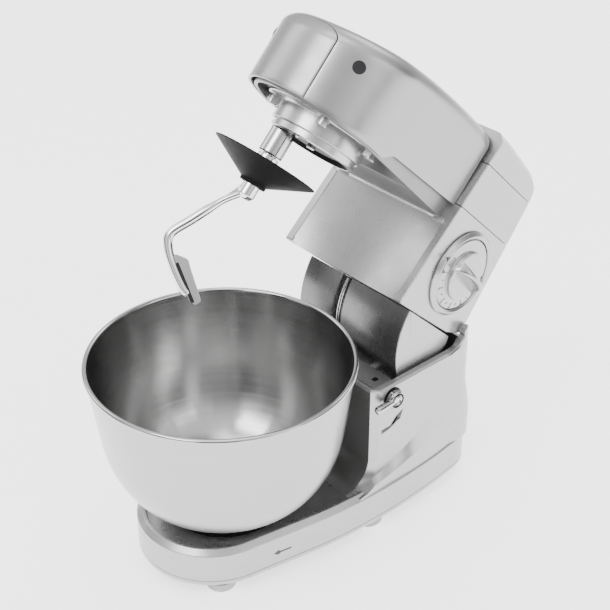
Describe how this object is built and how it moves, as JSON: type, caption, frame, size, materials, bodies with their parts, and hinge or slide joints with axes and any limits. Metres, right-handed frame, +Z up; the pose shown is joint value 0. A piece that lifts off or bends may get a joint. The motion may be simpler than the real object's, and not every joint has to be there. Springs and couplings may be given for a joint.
{
  "type": "stand mixer",
  "caption": "Tilt-head kitchen stand mixer with planetary drive, steel mixing bowl on a twist collar, dough hook, splash cone, speed dial and head lock lever.",
  "frame": {"origin": "middle of the bounding box's footprint, on the table under the rubber feet", "axes": "+Z up; -Y is the front, where the bowl stands; +X is the side with the speed dial and the lock lever"},
  "size_m": [0.24, 0.4442, 0.4912],
  "materials": {
    "shell": "moulded, satin silver lacquer",
    "head_cover": "moulded, satin silver lacquer",
    "steel": "brushed",
    "bowl_steel": "spun and polished stainless steel",
    "chrome": "polished",
    "cast": "die cast, satin",
    "dark_plastic": "moulded, matt",
    "grey_plastic": "moulded, satin",
    "dial_plastic": "silver lacquered",
    "nylon": "natural nylon",
    "rubber": "soft grey",
    "belt": "black, ribbed",
    "bronze": "sintered",
    "board": "circuit board"
  },
  "bodies": {
    "base": {"base_shell": "shell", "base_plate": "dark_plastic", "foot_1": "rubber", "foot_2": "rubber", "foot_3": "rubber", "foot_4": "rubber", "foot_5": "rubber", "foot_6": "rubber", "base_screw_1": "steel", "base_screw_2": "steel", "column_top_plate": "grey_plastic", "collar_retainer": "steel", "retainer_screw": "steel", "hinge_pin": "steel", "bolt_guide": "nylon", "bolt_spring": "steel", "interlock_switch": "dark_plastic"},
    "collar": {"bowl_collar": "dark_plastic"},
    "bowl": {"bowl": "bowl_steel", "bowl_foot": "bowl_steel"},
    "lever": {"lock_lever": "chrome", "lever_screw": "steel", "lock_cam": "steel"},
    "bolt": {"lock_bolt": "steel"},
    "plunger": {"interlock_plunger": "dark_plastic"},
    "head": {"lower_casing": "shell", "rear_panel": "shell", "rear_top_cover": "shell", "upper_cover": "head_cover", "nose_cover": "head_cover", "side_plug_right": "dark_plastic", "side_plug_left": "dark_plastic", "drum": "grey_plastic", "drum_rod": "chrome", "dial_bezel": "dial_plastic", "speed_switch": "dark_plastic", "control_board": "board", "chassis": "steel", "motor_can": "steel", "drive_belt": "belt", "lower_bearing": "bronze", "planetary_housing": "cast", "ring_gear": "steel"},
    "dial": {"speed_dial": "dial_plastic"},
    "motor": {"motor_rotor": "steel", "motor_fan": "nylon", "motor_pulley": "steel"},
    "counter": {"counter_shaft": "steel", "large_pulley": "nylon", "drive_pinion": "steel"},
    "orbit": {"main_gear": "bronze", "main_shaft": "steel", "carrier": "cast", "spindle_sleeve": "chrome", "carrier_screw": "steel"},
    "beater": {"planet_pinion": "steel", "spindle": "chrome", "cross_pin": "steel"},
    "tool": {"dough_hook": "chrome", "dough_shield": "dark_plastic"}
  },
  "joints": [
    {"name": "head_tilt", "type": "hinge", "parent": "base", "child": "head", "pos_m": [0, 0.13185, 0.168], "axis": [-1, 0, 0], "range_deg": [-43, 0]},
    {"name": "collar_turn", "type": "hinge", "parent": "base", "child": "collar", "pos_m": [0, -0.10215, 0.05], "axis": [0, 0, 1], "range_deg": [0, 25]},
    {"name": "bowl_lift", "type": "slide", "parent": "collar", "child": "bowl", "axis": [0, 0, 1], "range_m": [0, 0.03]},
    {"name": "lever_turn", "type": "hinge", "parent": "base", "child": "lever", "pos_m": [0, 0.03235, 0.1405], "axis": [1, 0, 0], "range_deg": [0, 60]},
    {"name": "bolt_slide", "type": "slide", "parent": "base", "child": "bolt", "axis": [0, -1, 0], "range_m": [0, 0.006], "stiffness_N_per_m": 400, "springref_m": -0.004, "deforming": ["bolt_spring"]},
    {"name": "plunger_press", "type": "slide", "parent": "base", "child": "plunger", "axis": [0, 0, -1], "range_m": [0, 0.003], "stiffness_N_per_m": 120, "springref_m": -0.002},
    {"name": "dial_turn", "type": "hinge", "parent": "head", "child": "dial", "pos_m": [0.07271, 0.1173, 0.23626], "axis": [0.9967, 0.0598, -0.0557], "range_deg": [-180, 30]},
    {"name": "motor_spin", "type": "hinge", "parent": "head", "child": "motor", "pos_m": [0, 0.13561, 0.26294], "axis": [0, 0.682, 0.7314], "continuous": true},
    {"name": "counter_spin", "type": "hinge", "parent": "head", "child": "counter", "pos_m": [0, 0.08341, 0.37999], "axis": [0, 0.682, 0.7314], "continuous": true},
    {"name": "planet_orbit", "type": "hinge", "parent": "head", "child": "orbit", "pos_m": [0, 0.00982, 0.38024], "axis": [0, 0.682, 0.7314], "continuous": true},
    {"name": "beater_spin", "type": "hinge", "parent": "orbit", "child": "beater", "pos_m": [-0.02068, -0.00288, 0.39208], "axis": [0, 0.682, 0.7314], "continuous": true},
    {"name": "hook_release", "type": "slide", "parent": "beater", "child": "tool", "axis": [0, -0.682, -0.7314], "range_m": [0, 0.025]}
  ],
  "couplings": [
    {"joint": "lever_turn", "follows": "bolt_slide", "rad_per_m": 174.5},
    {"joint": "counter_spin", "follows": "planet_orbit", "ratio": -5},
    {"joint": "motor_spin", "follows": "planet_orbit", "ratio": -19},
    {"joint": "beater_spin", "follows": "planet_orbit", "ratio": -4}
  ]
}
